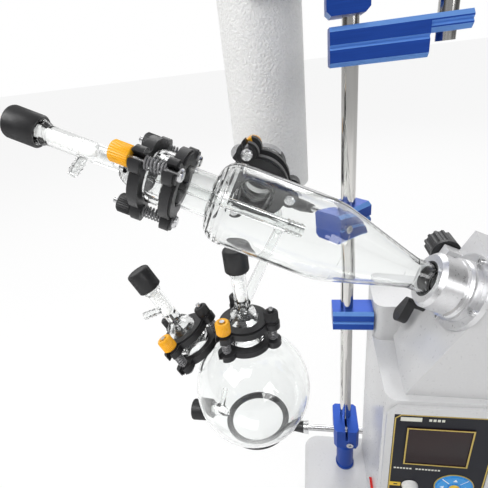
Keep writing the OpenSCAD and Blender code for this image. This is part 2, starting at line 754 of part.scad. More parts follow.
module condenser_cap() {
    color(black) translate([-side_x, condenser_back, jacket_z + jacket_h]) difference() {
        union() {
            rotate_extrude($fn = 96) polygon([[0, 0], [jacket_d / 2 + 2, 0], [jacket_d / 2 + 2, 14],
                [jacket_d / 2, 17], [0, 19]]);
            for (x = [-20, 20]) translate([x, 0, 12]) {
                cylinder(d = 9, h = 26);
                for (i = [0:2]) translate([0, 0, 10 + 5 * i]) cylinder(d1 = 11, d2 = 9, h = 4);
            }
        }
        for (x = [-20, 20]) translate([x, 0, -cut]) cylinder(d = 5, h = 45);
    }
}
module cold_finger() {
    coil_r = 22;
    wire = 8;
    turns = 17;
    step = 14;
    top = jacket_z + jacket_h;
    color(steel) translate([-side_x, condenser_back, top - 30 - turns * step]) {
        for (i = [0:turns - 1]) translate([0, 0, i * step]) rotate_extrude($fn = 48)
            translate([coil_r, 0]) circle(d = wire, $fn = 24);
        for (x = [-coil_r, coil_r]) translate([x, 0, 0]) cylinder(d = 5, h = turns * step + 30 - 0.05);
    }
}
module inlet_stem() { at_inlet() stem(inlet_port - seat_drop, inlet_rise); }
module outlet_stem() { at_neck() stem(nipple_z - seat_drop, valve_rise); }
module vacuum_stem() { at_vacuum() stem(nipple_z - seat_drop, valve_rise); }
module drain_stem() { at_drain() stem(-10, drain_mouth); }
module inlet_cap() { at_inlet() cap(inlet_rise); }
module outlet_cap() { at_neck() cap(valve_rise); }
module vacuum_cap() { at_vacuum() cap(valve_rise); }
module drain_cap() { at_drain() cap(drain_mouth); }

// ---- drive head ----
housing_x = 24;
housing_right = 200;
housing_front = -85;
housing_back = 34;
ledge_z = 277;
column_z = 317;
column_front = -14;
// The slanted head, seen along its axis: it narrows a little towards its roof
module head_outline(inset) {
    polygon([[37 - inset, 37 - inset], [25 - inset, -29.5 + inset], [-96 + inset, -22 + inset],
        [-86 + inset, 48 - inset]]);
}
module head_solid(inset) {
    at_drive(head_t + inset) linear_extrude(head_len - 2 * inset) head_outline(inset);
}
module column_solid(inset) {
    translate([housing_x + inset, column_front + inset, base_top - 5 * inset])
        rounded_plate(housing_right - housing_x - 2 * inset, housing_back - column_front - 2 * inset,
            column_z - base_top + 4 * inset, 10 - inset);
    translate([housing_x + inset, housing_front + inset, base_top - 5 * inset])
        rounded_plate(housing_right - housing_x - 2 * inset, housing_back - housing_front - 2 * inset,
            ledge_z - base_top + 4 * inset, 10 - inset);
}
// Raised frame around the control panel, with its upper left corner cut off
bezel_x = [24.4, 119];
bezel_z = [124, 273];
bezel_h = 3;
panel_x = [30.5, 109.5];
panel_z = [134, 265];
module bezel() {
    translate([0, housing_front + 0.02, 0]) rotate([90, 0, 0]) difference() {
        linear_extrude(bezel_h) polygon([[bezel_x[0], bezel_z[0]], [bezel_x[1], bezel_z[0]],
            [bezel_x[1], bezel_z[1]], [bezel_x[0] + 8, bezel_z[1]], [bezel_x[0], bezel_z[1] - 9]]);
        translate([panel_x[0] - 0.3, panel_z[0] - 0.3, bezel_h - 1.5])
            cube([panel_x[1] - panel_x[0] + 0.6, panel_z[1] - panel_z[0] + 0.6, bezel_h]);
    }
}
module housing() {
    color(pale) difference() {
        union() {
            head_solid(0);
            column_solid(0);
            bezel();
            at_drive(face_t - 6) translate([knob_u - 8, 31.5, 0]) cube([16, 11, 17]);
        }
        head_solid(shell);
        column_solid(shell);
        at_drive(face_t - 2 * shell) cylinder(d = 40, h = 4 * shell);
        at_drive(head_t - shell) cylinder(d = 44, h = 3 * shell);
        at_drive(face_t - 2 * shell) translate(lever_place) cylinder(d = 7.1, h = 4 * shell);
        at_drive(knob_t) translate([knob_u, 37, 0]) rotate([-90, 0, 0]) cylinder(d = 8.1, h = 20, center = true);
        translate([speed_x, housing_front - bezel_h - cut, speed_z]) rotate([-90, 0, 0])
            cylinder(d = 6.1, h = 20);
        translate([housing_x - cut, switch_y, switch_z]) cube([shell + 2 * cut, switch_w, switch_h]);
    }
}
module collar() {
    color("gainsboro") at_drive(flange_t + 0.05) difference() {
        rotate_extrude() polygon([[0, 0], [24, 0], [24, 4], [22.5, 4.6], [23.2, 5.4], [22.5, 6.2],
            [23.2, 7], [22.5, 7.8], [23.2, 8.6], [collar_d / 2, 9.4], [collar_d / 2, collar_h - 3],
            [collar_d / 2 - 2.5, collar_h - 0.05], [0, collar_h - 0.05]]);
        translate([0, 0, -cut]) cylinder(d = collar_hole, h = collar_h + 2 * cut);
    }
}
module drive_flange() {
    color("gainsboro") at_drive(face_t) difference() {
        cylinder(d = drive_flange_d, h = drive_flange_h);
        translate([0, 0, -cut]) cylinder(d = collar_hole + 4, h = drive_flange_h + 2 * cut);
        for (a = [0:90:270]) rotate([0, 0, a]) translate([27.1, 0, -cut])
            cylinder(d = 3.2, h = drive_flange_h + 2 * cut);
    }
}
module drive_screws() {
    color(steel) at_drive(face_t + drive_flange_h) for (a = [0:90:270]) rotate([0, 0, a])
        translate([27.1, 0, 0]) {
            translate([0, 0, -drive_flange_h]) cylinder(d = 3, h = drive_flange_h + 0.5);
            difference() {
                translate([0, 0, 0.02]) cylinder(d = 5.4, h = 2.6);
                translate([0, 0, 1.2]) cylinder(d = 2.8, h = 2, $fn = 6);
            }
        }
}
spindle_d = 34;
spindle_bore = 24;
module spindle() {
    color(steel) at_drive(head_t - 14) difference() {
        cylinder(d = spindle_d, h = head_len + 14 - 2);
        translate([0, 0, -cut]) cylinder(d = spindle_bore, h = head_len + 20);
    }
}
bearing_t = [face_t - 24, head_t + 16];
bearing_d = 48;
bearing_h = 12;
// Ball bearings of the spindle, each in a plate that fills the head
module spindle_bearings() {
    color(steel) for (t = bearing_t) at_drive(t) difference() {
        union() {
            cylinder(d = bearing_d, h = bearing_h);
            linear_extrude(4) head_outline(shell + slide_gap);
        }
        translate([0, 0, -cut]) cylinder(d = spindle_d + 2 * slide_gap, h = bearing_h + 2 * cut);
    }
}
gear_t = face_t - 70;
gear_teeth = 42;
pinion_teeth = 14;
gear_far = 31.5;
tooth_size = 2 * gear_far / (gear_teeth + pinion_teeth);
module toothed(teeth, h, bore, turn) {
    root = tooth_size * teeth / 2 - 0.9;
    difference() {
        union() {
            cylinder(r = root, h = h);
            for (i = [0:teeth - 1]) rotate([0, 0, turn + i * 360 / teeth]) translate([root - 0.4, 0, 0])
                linear_extrude(h) polygon([[0, -1.1], [2, -0.5], [2, 0.5], [0, 1.1]]);
        }
        translate([0, 0, -cut]) cylinder(d = bore, h = h + 2 * cut);
    }
}
module drive_gear() {
    color("ivory") at_drive(gear_t) toothed(gear_teeth, 10, spindle_d + 0.02, 0);
}
motor_shaft_d = 6;
module motor_gear() {
    color("ivory") at_drive(gear_t) translate([-gear_far, 0, 0])
        toothed(pinion_teeth, 10, motor_shaft_d + 0.1, 180 / pinion_teeth);
}
module motor() {
    color(black) at_drive(gear_t) {
        translate([-gear_far, 0, -50]) cylinder(d = 28, h = 46);
        translate([-gear_far, 0, -6]) cylinder(d = motor_shaft_d, h = 15);
        translate([0, 0, -5]) linear_extrude(3) difference() {
            head_outline(shell + slide_gap);
            circle(d = spindle_d + 6);
        }
    }
}
module vapour_duct() {
    color(clear) at_drive(head_t - 46) difference() {
        union() {
            cylinder(d = duct_d, h = head_len + 46 - 8 + 30);
            cylinder(d1 = 22, d2 = 25, h = 30);
        }
        translate([0, 0, -cut]) cylinder(d = duct_d - 2 * glass, h = head_len + 120);
    }
}
boil_t = head_t - 46 - 92;
module evaporating_flask() {
    color(clear) at_drive(0) difference() {
        union() {
            translate([0, 0, boil_t]) sphere(d = boil_d, $fn = 96);
            translate([0, 0, boil_t]) cylinder(d = 31, h = head_t - 18 - boil_t);
            translate([0, 0, head_t - 24]) cylinder(d = 35, h = 6);
        }
        translate([0, 0, boil_t]) sphere(d = boil_d - 2 * glass, $fn = 96);
        translate([0, 0, boil_t]) cylinder(d = 25.4, h = head_t + cut - boil_t);
    }
}
module flask_clip() {
    color("green") at_drive(head_t - 27) difference() {
        cylinder(d = 42, h = 12.8);
        translate([0, 0, -cut]) cylinder(d = 35.6, h = 14 + cut);
        translate([0, -6, -cut]) cube([40, 12, 20]);
    }
}
// Black paddle that locks the head, on a pin in the slanted face
lever_place = [-40, 30, 0];
module lock_lever() {
    color(black) at_drive(face_t) translate(lever_place) {
        translate([0, 0, -10]) cylinder(d = 7, h = 24);
        translate([0, 0, 9]) linear_extrude(8) hull() {
            circle(4, $fn = 32);
            translate([-14, 0]) circle(7, $fn = 32);
        }
    }
}
// Ribbed knob on the back of the head
knob_t = face_t + 4;
knob_u = 8;
knob_y = 44;
knob_r = 12;
module rear_knob() {
    color(black) at_drive(knob_t) translate([knob_u, knob_y, 0]) rotate([-90, 0, 0]) {
        translate([0, 0, -12]) cylinder(d = 8, h = 13);
        difference() {
            cylinder(r = knob_r, h = 22);
            for (i = [0:11]) rotate([0, 0, 30 * i]) translate([knob_r + 1, 0, 3]) cylinder(r = 2.4, h = 22);
        }
    }
}
panel_face = housing_front - bezel_h + 1.5;
module control_panel() {
    color("midnightblue") difference() {
        translate([panel_x[0], panel_face - 1, panel_z[0]])
            cube([panel_x[1] - panel_x[0], 1, panel_z[1] - panel_z[0]]);
        translate([speed_x, panel_face - 2, speed_z]) rotate([-90, 0, 0]) cylinder(d = 6.1, h = 3);
    }
}
display_x = [41, 92.5];
display_z = [203, 250];
module display() {
    frame = 1.6;
    w = display_x[1] - display_x[0];
    h = display_z[1] - display_z[0];
    color("goldenrod") translate([display_x[0], panel_face - 2, display_z[0]]) difference() {
        cube([w, 0.98, h]);
        translate([frame, -cut, frame]) cube([w - 2 * frame, cut + 0.5, h - 2 * frame]);
    }
}
keypad_at = [85.7, 175];
keypad_d = 31;
module keypad() {
    color("deepskyblue") translate([keypad_at[0], panel_face - 1.02, keypad_at[1]]) rotate([90, 0, 0]) {
        cylinder(d = keypad_d, h = 0.8);
        for (a = [45:90:315]) rotate([0, 0, a]) translate([0, 0, 0.8]) intersection() {
            difference() {
                cylinder(d = keypad_d - 2, h = 0.7);
                translate([0, 0, -cut]) cylinder(d = 12, h = 3);
            }
            rotate([0, 0, 0]) translate([0.7, 0.7, 0]) cube([keypad_d, keypad_d, 1]);
        }
        translate([0, 0, 0.8]) cylinder(d = 9, h = 0.9);
    }
}
speed_x = 49;
speed_z = 172;
module speed_knob() {
    color("white") translate([speed_x, panel_face - 1.3, speed_z]) rotate([90, 0, 0]) {
        translate([0, 0, -12]) cylinder(d = 6, h = 13);
        rotate_extrude() polygon([[0, 0], [7, 0], [7, 1], [6.2, 9], [5.4, 10], [0, 10]]);
        translate([0, 3.6, 9.5]) cube([1, 4, 1], center = true);
    }
}
switch_y = -60;
switch_z = 94;
switch_w = 13;
switch_h = 20;
// Rocker of the power switch: a bent plate on a half drum about its pivot
module power_switch() {
    gap = 0.25;
    far = switch_h / 2 - 1;
    color("red") translate([housing_x, switch_y + switch_w / 2, switch_z + switch_h / 2])
        rotate([90, 0, 0]) linear_extrude(switch_w - 2 * gap, center = true) {
            polygon([[1, far], [-2.6, far], [-0.6, 0], [-0.6, -far], [1, -far]]);
            intersection() {
                circle(7);
                translate([0, -8]) square(16);
            }
        }
}

base();
base_feet();
main_rod();
rod_foot();
mid_clamp();
angle_clamp();
lower_clamp();
top_arm();
upper_rod();
upper_block();
neck_holder();
support_ring();
lock_screws();
vapour_vessel();
inlet_adapter();
outlet_adapter();
vacuum_adapter();
receiving_flask();
condenser_glass();
condenser_jacket();
condenser_cap();
cold_finger();
inlet_stem();
outlet_stem();
vacuum_stem();
drain_stem();
inlet_cap();
outlet_cap();
vacuum_cap();
drain_cap();
inlet_plates();
neck_plates();
vacuum_plates();
side_plates();
clamp_bolts();
clamp_springs();
clamp_nuts();
inlet_nut();
neck_nut();
vacuum_nut();
side_nut();
housing();
collar();
drive_flange();
drive_screws();
spindle();
spindle_bearings();
drive_gear();
motor();
motor_gear();
vapour_duct();
evaporating_flask();
flask_clip();
lock_lever();
rear_knob();
control_panel();
display();
keypad();
speed_knob();
power_switch();
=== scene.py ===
import json
import math

import bmesh
import bpy
from mathutils import Matrix, Vector


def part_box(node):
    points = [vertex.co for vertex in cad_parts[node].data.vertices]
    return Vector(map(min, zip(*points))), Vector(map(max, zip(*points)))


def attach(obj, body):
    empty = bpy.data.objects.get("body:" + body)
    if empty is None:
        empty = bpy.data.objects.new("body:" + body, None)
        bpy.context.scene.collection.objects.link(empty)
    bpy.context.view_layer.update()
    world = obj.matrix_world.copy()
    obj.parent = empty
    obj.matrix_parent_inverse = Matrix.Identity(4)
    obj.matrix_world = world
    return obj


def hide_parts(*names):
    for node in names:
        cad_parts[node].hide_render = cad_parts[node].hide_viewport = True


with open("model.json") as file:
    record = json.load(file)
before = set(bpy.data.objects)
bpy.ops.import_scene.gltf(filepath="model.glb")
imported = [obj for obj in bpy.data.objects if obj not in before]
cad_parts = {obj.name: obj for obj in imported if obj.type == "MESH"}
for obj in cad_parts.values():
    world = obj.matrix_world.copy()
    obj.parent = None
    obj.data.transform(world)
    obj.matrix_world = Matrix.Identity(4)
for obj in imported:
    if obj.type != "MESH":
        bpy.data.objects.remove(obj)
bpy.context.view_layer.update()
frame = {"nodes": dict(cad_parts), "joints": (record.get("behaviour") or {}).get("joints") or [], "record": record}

# Rotary evaporator glass assembly on its rod stand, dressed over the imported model.
# Metres, +Z up, +X towards the evaporating flask, +Y towards the condenser.

nodes = frame["nodes"]
print("frame loaded:", len(nodes), "nodes")

# Camera.
camera = {
    "place": (-0.02969, -0.30576, 0.53447),
    "right": (0.98202, 0.15156, -0.11254),
    "up": (0.03127, 0.45734, 0.88874),
    "lens": 27.25,
    "sensor": 36.0,
}


def makeCamera():
    data = bpy.data.cameras.new("benchCamera")
    data.lens = camera["lens"]
    data.sensor_width = camera["sensor"]
    data.clip_start = 0.01
    data.clip_end = 50
    eye = bpy.data.objects.new("benchCamera", data)
    bpy.context.scene.collection.objects.link(eye)
    right = Vector(camera["right"]).normalized()
    up = Vector(camera["up"])
    up = (up - right * up.dot(right)).normalized()
    back = right.cross(up)
    turn = Matrix((right, up, back)).transposed()
    eye.matrix_world = Matrix.Translation(camera["place"]) @ turn.to_4x4()
    bpy.context.scene.camera = eye


makeCamera()
print("camera placed")

# Light and floor.
studio = {
    "floorWide": 30.0,
    "floorGlow": 0.85,
    "floorColour": (0.93, 0.93, 0.93, 1),
    "keyPower": 26.0,
    "keyPlace": (-1.3, -0.9, 1.9),
    "keyWide": 1.3,
    "fillPower": 7.0,
    "fillPlace": (1.3, -1.6, 1.0),
    "fillWide": 0.9,
    "rimPower": 12.0,
    "rimPlace": (0.2, 1.6, 1.6),
    "rimWide": 1.4,
    "topPower": 6.0,
    "topPlace": (-0.35, -0.75, 2.2),
    "topWide": 0.8,
    "skyFront": 0.42,
    "skyBack": 1.0,
    "skySide": 0.22,
}


def areaLight(name, place, wide, power, aim=(0.0, 0.0, 0.35)):
    data = bpy.data.lights.new(name, "AREA")
    data.shape = "RECTANGLE"
    data.size = wide
    data.size_y = wide * 0.7
    data.energy = power
    lamp = bpy.data.objects.new(name, data)
    bpy.context.scene.collection.objects.link(lamp)
    lamp.location = place
    lamp.rotation_mode = "QUATERNION"
    lamp.rotation_quaternion = (Vector(aim) - Vector(place)).to_track_quat("-Z", "Y")


def makeStudio():
    areaLight("keyLight", studio["keyPlace"], studio["keyWide"], studio["keyPower"])
    areaLight("fillLight", studio["fillPlace"], studio["fillWide"], studio["fillPower"])
    areaLight("rimLight", studio["rimPlace"], studio["rimWide"], studio["rimPower"])
    areaLight("topLight", studio["topPlace"], studio["topWide"], studio["topPower"], (0.0, 0.0, 0.45))
    world = bpy.data.worlds.new("studioWorld")
    bpy.context.scene.world = world
    world.use_nodes = True
    tree = world.node_tree
    tree.nodes.clear()
    out = tree.nodes.new("ShaderNodeOutputWorld")
    seen = tree.nodes.new("ShaderNodeBackground")
    seen.inputs["Color"].default_value = (1, 1, 1, 1)
    around = tree.nodes.new("ShaderNodeBackground")
    choose = tree.nodes.new("ShaderNodeMixShader")
    path = tree.nodes.new("ShaderNodeLightPath")
    where = tree.nodes.new("ShaderNodeTexCoord")
    split = tree.nodes.new("ShaderNodeSeparateXYZ")
    depth = tree.nodes.new("ShaderNodeMapRange")
    depth.inputs["From Min"].default_value = -0.4
    depth.inputs["From Max"].default_value = 0.5
    depth.inputs["To Min"].default_value = studio["skyFront"]
    depth.inputs["To Max"].default_value = studio["skyBack"]
    wide = tree.nodes.new("ShaderNodeMath")
    wide.operation = "ABSOLUTE"
    flag = tree.nodes.new("ShaderNodeMapRange")
    flag.inputs["From Min"].default_value = 0.72
    flag.inputs["From Max"].default_value = 0.88
    flag.inputs["To Min"].default_value = 1.0
    flag.inputs["To Max"].default_value = studio["skySide"]
    level = tree.nodes.new("ShaderNodeMath")
    level.operation = "MULTIPLY"
    link = tree.links.new
    link(where.outputs["Generated"], split.inputs[0])
    link(split.outputs["Y"], depth.inputs["Value"])
    link(split.outputs["X"], wide.inputs[0])
    link(wide.outputs[0], flag.inputs["Value"])
    link(depth.outputs["Result"], level.inputs[0])
    link(flag.outputs["Result"], level.inputs[1])
    link(level.outputs[0], around.inputs["Strength"])
    link(path.outputs["Is Camera Ray"], choose.inputs["Fac"])
    link(around.outputs[0], choose.inputs[1])
    link(seen.outputs[0], choose.inputs[2])
    link(choose.outputs[0], out.inputs["Surface"])
    bpy.context.scene.view_settings.view_transform = "Standard"


# Finishes.
def startFinish(name, colour, rough, metal=0.0):
    finish = bpy.data.materials.new(name)
    finish.use_nodes = True
    tree = finish.node_tree
    shader = tree.nodes["Principled BSDF"]
    shader.inputs["Base Color"].default_value = (*colour, 1)
    shader.inputs["Roughness"].default_value = rough
    shader.inputs["Metallic"].default_value = metal
    return finish, tree, shader


def place3d(tree, scale=(1, 1, 1)):
    where = tree.nodes.new("ShaderNodeTexCoord")
    fit = tree.nodes.new("ShaderNodeMapping")
    fit.inputs["Scale"].default_value = scale
    tree.links.new(where.outputs["Object"], fit.inputs["Vector"])
    return fit.outputs["Vector"]


def noise(tree, scale, detail=3.0, stretch=(1, 1, 1), rough=0.5):
    grain = tree.nodes.new("ShaderNodeTexNoise")
    grain.inputs["Scale"].default_value = scale
    grain.inputs["Detail"].default_value = detail
    grain.inputs["Roughness"].default_value = rough
    tree.links.new(place3d(tree, stretch), grain.inputs["Vector"])
    return grain.outputs["Fac"]


def tint(tree, shader, driver, low, high):
    mix = tree.nodes.new("ShaderNodeMix")
    mix.data_type = "RGBA"
    mix.inputs["A"].default_value = (*low, 1)
    mix.inputs["B"].default_value = (*high, 1)
    tree.links.new(driver, mix.inputs["Factor"])
    tree.links.new(mix.outputs["Result"], shader.inputs["Base Color"])
    return mix


def spread(tree, shader, driver, low, high, socket="Roughness", fromLow=0.3, fromHigh=0.7):
    span = tree.nodes.new("ShaderNodeMapRange")
    span.inputs["From Min"].default_value = fromLow
    span.inputs["From Max"].default_value = fromHigh
    span.inputs["To Min"].default_value = low
    span.inputs["To Max"].default_value = high
    tree.links.new(driver, span.inputs["Value"])
    tree.links.new(span.outputs["Result"], shader.inputs[socket])


def bump(tree, shader, driver, height, strength=1.0):
    relief = tree.nodes.new("ShaderNodeBump")
    relief.inputs["Distance"].default_value = height
    relief.inputs["Strength"].default_value = strength
    tree.links.new(driver, relief.inputs["Height"])
    tree.links.new(relief.outputs["Normal"], shader.inputs["Normal"])
    return relief


def casePaint():
    finish, tree, shader = startFinish("casePaint", (0.72, 0.72, 0.72), 0.3)
    shader.inputs["Coat Weight"].default_value = 0.35
    shader.inputs["Coat Roughness"].default_value = 0.12
    tint(tree, shader, noise(tree, 500, 2), (0.60, 0.60, 0.605), (0.64, 0.64, 0.645))
    spread(tree, shader, noise(tree, 300, 2), 0.27, 0.35)
    return finish


def orangePeel():
    finish, tree, shader = startFinish("orangePeel", (0.86, 0.86, 0.85), 0.55)
    grain = noise(tree, 420, 2)
    tint(tree, shader, grain, (0.78, 0.78, 0.77), (0.93, 0.93, 0.92))
    spread(tree, shader, grain, 0.48, 0.66)
    bump(tree, shader, grain, 0.0016, 1.0)
    return finish


def anodised(name, low, high, metal):
    finish, tree, shader = startFinish(name, low, 0.34, metal)
    drawn = noise(tree, 60, 3, (0.6, 30, 30))
    tint(tree, shader, drawn, low, high)
    spread(tree, shader, drawn, 0.28, 0.42)
    bump(tree, shader, drawn, 0.00004, 0.4)
    return finish


def polishedRod():
    finish, tree, shader = startFinish("polishedRod", (0.80, 0.79, 0.77), 0.09, 1.0)
    drawn = noise(tree, 40, 3, (30, 30, 0.8))
    tint(tree, shader, drawn, (0.60, 0.59, 0.57), (0.78, 0.77, 0.75))
    spread(tree, shader, drawn, 0.06, 0.16)
    return finish


def turnedSteel():
    finish, tree, shader = startFinish("turnedSteel", (0.68, 0.68, 0.69), 0.22, 1.0)
    grain = noise(tree, 400, 3)
    tint(tree, shader, grain, (0.60, 0.60, 0.61), (0.76, 0.76, 0.77))
    spread(tree, shader, grain, 0.16, 0.3)
    return finish


def turnedAluminium():
    finish, tree, shader = startFinish("turnedAluminium", (0.72, 0.72, 0.73), 0.32, 0.9)
    grain = noise(tree, 500, 4)
    tint(tree, shader, grain, (0.66, 0.66, 0.67), (0.80, 0.80, 0.81))
    spread(tree, shader, grain, 0.26, 0.42)
    return finish


def mouldedBlack():
    finish, tree, shader = startFinish("mouldedBlack", (0.014, 0.014, 0.015), 0.42)
    grain = noise(tree, 700, 3)
    tint(tree, shader, noise(tree, 60, 4), (0.010, 0.010, 0.011), (0.022, 0.022, 0.024))
    spread(tree, shader, grain, 0.34, 0.52)
    bump(tree, shader, grain, 0.0001, 0.45)
    return finish


def footRubber():
    finish, tree, shader = startFinish("footRubber", (0.03, 0.03, 0.03), 0.8)
    grain = noise(tree, 500, 4)
    tint(tree, shader, grain, (0.022, 0.022, 0.022), (0.045, 0.045, 0.045))
    bump(tree, shader, grain, 0.0002, 0.5)
    return finish


def clearGlass():
    finish, tree, shader = startFinish("clearGlass", (0.985, 0.995, 0.99), 0.0)
    shader.inputs["Transmission Weight"].default_value = 1.0
    shader.inputs["IOR"].default_value = 1.47
    spread(tree, shader, noise(tree, 40, 2), 0.0, 0.012)
    return finish


def whitePtfe():
    finish, tree, shader = startFinish("whitePtfe", (0.88, 0.88, 0.87), 0.4)
    grain = noise(tree, 300, 3)
    tint(tree, shader, grain, (0.90, 0.90, 0.89), (0.95, 0.95, 0.94))
    # painted glow: the emission brightens the white PTFE, which is no lamp, so the stems read white inside the
    # glass
    shader.inputs["Emission Color"].default_value = (1, 1, 1, 1)
    shader.inputs["Emission Strength"].default_value = 0.22
    spread(tree, shader, grain, 0.35, 0.5)
    return finish


def orangePlastic():
    finish, tree, shader = startFinish("orangePlastic", (0.98, 0.40, 0.01), 0.3)
    grain = noise(tree, 160, 3)
    tint(tree, shader, grain, (0.96, 0.42, 0.008), (1.0, 0.52, 0.02))
    spread(tree, shader, grain, 0.24, 0.38)
    return finish


def nylon():
    finish, tree, shader = startFinish("gearNylon", (0.82, 0.79, 0.70), 0.5)
    grain = noise(tree, 200, 3)
    tint(tree, shader, grain, (0.78, 0.75, 0.66), (0.86, 0.83, 0.74))
    spread(tree, shader, grain, 0.42, 0.58)
    return finish


def clipGreen():
    finish, tree, shader = startFinish("clipGreen", (0.05, 0.36, 0.16), 0.4)
    grain = noise(tree, 250, 3)
    tint(tree, shader, grain, (0.04, 0.32, 0.14), (0.06, 0.40, 0.18))
    spread(tree, shader, grain, 0.34, 0.48)
    return finish


def panelFilm():
    finish, tree, shader = startFinish("panelFilm", (0.012, 0.013, 0.02), 0.3)
    shader.inputs["Specular IOR Level"].default_value = 0.22
    grain = noise(tree, 800, 3)
    tint(tree, shader, grain, (0.006, 0.0065, 0.011), (0.011, 0.012, 0.019))
    spread(tree, shader, grain, 0.36, 0.46)
    return finish


def flatPrint(name, low, high, rough=0.4):
    finish, tree, shader = startFinish(name, low, rough)
    grain = noise(tree, 500, 3)
    tint(tree, shader, grain, low, high)
    spread(tree, shader, grain, rough - 0.05, rough + 0.05)
    return finish


def screenGlass():
    finish, tree, shader = startFinish("screenGlass", (0.02, 0.018, 0.02), 0.08)
    shader.inputs["Specular IOR Level"].default_value = 0.2
    shade = noise(tree, 26, 1)
    tint(tree, shader, shade, (0.014, 0.015, 0.016), (0.034, 0.010, 0.010))
    spread(tree, shader, shade, 0.06, 0.12)
    return finish


def keyBlue():
    finish, tree, shader = startFinish("keyBlue", (0.03, 0.30, 0.72), 0.35)
    grain = noise(tree, 400, 3)
    tint(tree, shader, grain, (0.025, 0.27, 0.66), (0.04, 0.34, 0.80))
    spread(tree, shader, grain, 0.3, 0.42)
    return finish


def knobWhite():
    finish, tree, shader = startFinish("knobWhite", (0.84, 0.84, 0.83), 0.25)
    grain = noise(tree, 300, 3)
    tint(tree, shader, grain, (0.80, 0.80, 0.79), (0.88, 0.88, 0.87))
    spread(tree, shader, grain, 0.2, 0.32)
    return finish


def rockerRed():
    finish, tree, shader = startFinish("rockerRed", (0.60, 0.015, 0.012), 0.22)
    grain = noise(tree, 300, 3)
    tint(tree, shader, grain, (0.54, 0.012, 0.010), (0.66, 0.020, 0.016))
    spread(tree, shader, grain, 0.18, 0.28)
    return finish


finishes = {
    "white_paint": casePaint(),
    "rubber": footRubber(),
    "chrome_rod": polishedRod(),
    "blue_anodised": anodised("blueAnodised", (0.006, 0.048, 0.30), (0.010, 0.072, 0.42), 0.5),
    "black_plastic": mouldedBlack(),
    "steel": turnedSteel(),
    "clear_glass": clearGlass(),
    "white_foam": orangePeel(),
    "white_ptfe": whitePtfe(),
    "orange_plastic": orangePlastic(),
    "bare_aluminium": turnedAluminium(),
    "white_nylon": nylon(),
    "green_plastic": clipGreen(),
    "navy_film": panelFilm(),
    "dark_screen": screenGlass(),
    "blue_key": keyBlue(),
    "white_knob": knobWhite(),
    "red_plastic": rockerRed(),
}
goldFinish = flatPrint("goldPrint", (0.46, 0.33, 0.06), (0.60, 0.44, 0.10))
paleFinish = flatPrint("palePrint", (0.66, 0.66, 0.58), (0.78, 0.78, 0.70))
yellowFinish = flatPrint("yellowPrint", (0.72, 0.46, 0.02), (0.84, 0.56, 0.03))
whiteFinish = flatPrint("whitePrint", (0.80, 0.86, 0.90), (0.88, 0.92, 0.95))
# painted highlight: a lighter blue for the chamfers, standing in for the light they catch from above
chamferHighlightFinish = anodised("blueChamferHighlight", (0.10, 0.26, 0.66), (0.17, 0.36, 0.80), 0.35)
wireFinish = flatPrint("springWire", (0.16, 0.16, 0.165), (0.30, 0.30, 0.31), 0.28)
sealFinish = flatPrint("sealRubber", (0.010, 0.010, 0.011), (0.022, 0.022, 0.023), 0.6)


def dressNodes():
    for part in frame["record"]["subparts"]:
        node = nodes[part["node"]]
        finish = finishes[part["material_slot"]]
        if not node.material_slots:
            node.data.materials.append(finish)
        for slot in node.material_slots:
            slot.material = finish
        if part["material_slot"] == "clear_glass":
            node.visible_shadow = False


def secondFinish(name, finish, chosen):
    # paints the faces of a node for which chosen(centre, normal) holds
    mesh = nodes[name].data
    mesh.materials.append(finish)
    for face in mesh.polygons:
        if chosen(face.center, face.normal):
            face.material_index = len(mesh.materials) - 1


# Where one node holds two finishes, in metres.
split = {
    "bevelLow": 0.5,
    "bevelHigh": 0.9,
    "ringRod": 0.066,
    "screwHead": 0.0019,
    "holderRod": 0.0455,
    "wingBolt": (-0.10005, 0.0615),
    "wingBoltRadius": 0.0022,
    "wingHigh": 0.0115,
    "blockRod": 0.032,
    "saddle": 0.09,
}


# chamfer faces, tilted between flat and upright, which take the painted highlight
def litBevel(centre, way):
    return split["bevelLow"] < abs(way.z) < split["bevelHigh"]


def splitFinishes():
    steel, black = finishes["steel"], finishes["black_plastic"]
    for name in ("mid_clamp", "angle_clamp", "lower_clamp", "top_arm", "upper_block"):
        # the chamfers get the lighter blue of the painted highlight
        secondFinish(name, chamferHighlightFinish, litBevel)
    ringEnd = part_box("support_ring")[1].x
    secondFinish("support_ring", steel, lambda centre, way: centre.x > ringEnd - split["ringRod"])
    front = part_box("lower_clamp")[0].y
    secondFinish("lower_clamp", steel, lambda centre, way: centre.y < front + split["screwHead"])
    secondFinish("neck_holder", steel, holderSteel)
    secondFinish("upper_block", black, lambda centre, way: centre.xy.length > split["saddle"])
    secondFinish("upper_block", steel,
                 lambda centre, way: split["blockRod"] < centre.xy.length <= split["saddle"])


def holderSteel(centre, way):
    # the thin rod near the clamp, and the wing bolt beside the jaw
    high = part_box("neck_holder")[1].z
    rod = centre.xy.length < split["holderRod"]
    bolt = (centre.xy - Vector(split["wingBolt"])).length < split["wingBoltRadius"]
    return rod or bolt or centre.z > high - split["wingHigh"]


